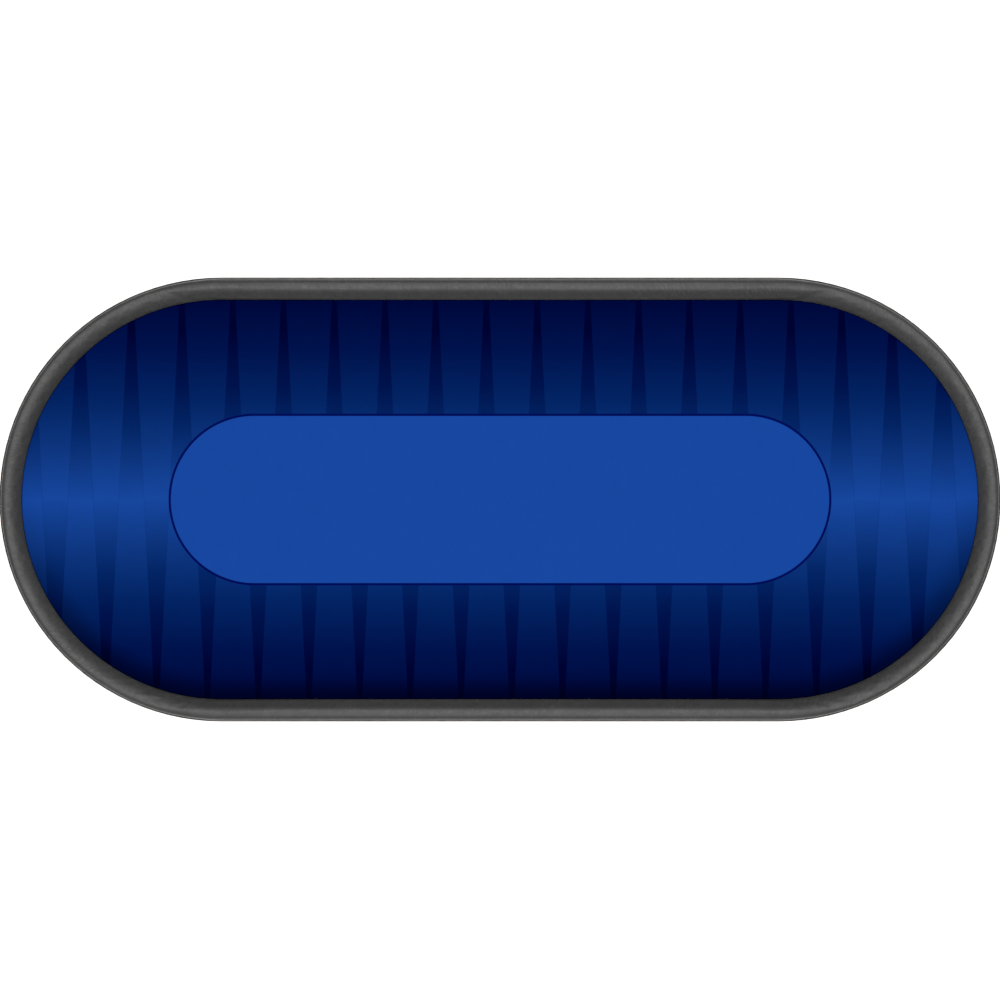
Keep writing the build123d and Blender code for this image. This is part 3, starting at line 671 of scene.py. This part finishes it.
def make_cloth():
    """One piece of cloth over the foam, down the sides and hemmed under the board."""
    places = stations(CLOTH_RADIUS)
    section = disc_section(CLOTH_RADIUS, CLOTH_TOP)
    low = cloth_low.z
    section += run(section[-1], (CLOTH_RADIUS, low + CLOTH_THICKNESS), 5)
    fold = CLOTH_FOLD_ROUND
    section += arc((CLOTH_RADIUS - fold, low + fold), fold, 0, -90, 3)
    section += run(section[-1], (CLOTH_RADIUS - CLOTH_HEM, low), 6)
    cloth = swept("playfield_cover", places, section, closed=False)
    for vertex in cloth.data.vertices:
        if vertex.co.z > CLOTH_TOP - TOUCHING:
            vertex.co.z -= CLOTH_EASE * (0.5 + 0.5 * noise.noise(vertex.co * CLOTH_EASE_SCALE))
    weld(cloth)
    thick = cloth.modifiers.new("Solidify", "SOLIDIFY")
    thick.thickness = CLOTH_THICKNESS * CLOTH_SHARE
    thick.offset = 1.0 if cloth.data.polygons[0].normal.z < 0 else -1.0
    dress(cloth, CLOTH)
    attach(cloth, "table_top")
    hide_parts("playfield_cloth")


def make_underlay():
    """The foam sheet between the cloth and the board."""
    radius = foam_high.y
    top = foam_high.z
    section = disc_section(radius, top, 8)
    section += run(section[-1], (radius, foam_low.z), 2)
    section += run(section[-1], (0.0, foam_low.z), 6)
    underlay = swept("playfield_underlay", stations(radius), section, closed=False)
    weld(underlay)
    dress(underlay, FOAM)
    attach(underlay, "table_top")
    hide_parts("playfield_foam")


# ---------------------------------------------------------------- floor, lights and camera
LENS = 600.0  # millimetres
SENSOR = 36.0
FRAME_WIDTH = 0.999  # the view is this many table lengths wide
VIEW_CENTRE_Y = -0.0012
VIEW_END = 200.0
FLOOR_REACH = 60.0
FLOOR_GLOW = 0.18  # keeps the floor as white as the photo's background
WORLD_STRENGTH = 0.85


def make_floor():
    """A pale floor that is solid from above, and open to a view from below."""
    corners = [(x * FLOOR_REACH, y * FLOOR_REACH, 0) for x, y in ((-1, -1), (1, -1), (1, 1), (-1, 1))]
    floor = mesh_object("floor", corners, [(0, 1, 2, 3)])
    g = Graph("pale_floor")
    tone = g.noise(3.0, 3.0)
    g.set(base_color=g.mix(tone, (0.88, 0.88, 0.88), (0.91, 0.91, 0.905)), roughness=0.9, ior_level=0.1)
    g.set(emission=(1.0, 1.0, 1.0), emission_strength=FLOOR_GLOW)
    clear = g.node("ShaderNodeBsdfTransparent").outputs[0]
    behind = g.node("ShaderNodeNewGeometry").outputs["Backfacing"]
    either = g.node("ShaderNodeMixShader", {0: behind, 1: g.shader.outputs[0], 2: clear}).outputs[0]
    g.tree.links.new(either, g.tree.nodes["Material Output"].inputs["Surface"])
    dress(floor, g.material)


def area_light(name, place, target, width, depth, power):
    data = bpy.data.lights.new(name, "AREA")
    data.shape = "RECTANGLE"
    data.size = width
    data.size_y = depth
    data.energy = power
    light = bpy.data.objects.new(name, data)
    light.location = place
    light.rotation_euler = (Vector(target) - Vector(place)).to_track_quat("-Z", "Y").to_euler()
    light.visible_camera = False
    scene.collection.objects.link(light)


def make_light():
    world = bpy.data.worlds.new("studio")
    scene.world = world
    world.use_nodes = True
    background = world.node_tree.nodes["Background"]
    background.inputs["Color"].default_value = (1.0, 1.0, 1.0, 1.0)
    background.inputs["Strength"].default_value = WORLD_STRENGTH
    area_light("overhead", (0, 0, 9.0), (0, 0, RAIL_TOP), 3.2, 3.2, 750)
    area_light("front", (0, -3.4, 2.4), (0, 0, RAIL_TOP), 3.0, 1.0, 20)
    area_light("left strip", (-3.6, -3.4, 1.3), (0, 0, 0.4), 0.35, 1.8, 26)
    area_light("right strip", (3.6, 3.4, 1.3), (0, 0, 0.4), 0.35, 1.8, 26)


def make_camera():
    data = bpy.data.cameras.new("camera")
    data.lens = LENS
    data.sensor_width = SENSOR
    camera = bpy.data.objects.new("camera", data)
    distance = FRAME_WIDTH * (cad_high.x - cad_low.x) * LENS / SENSOR
    camera.location = (0, VIEW_CENTRE_Y, band_high.z + distance)
    data.clip_end = VIEW_END
    scene.collection.objects.link(camera)
    scene.camera = camera


scene.view_settings.view_transform = "Standard"
make_camera()
make_light()
make_floor()
dress_frame()
make_rail()
make_underlay()
make_cloth()
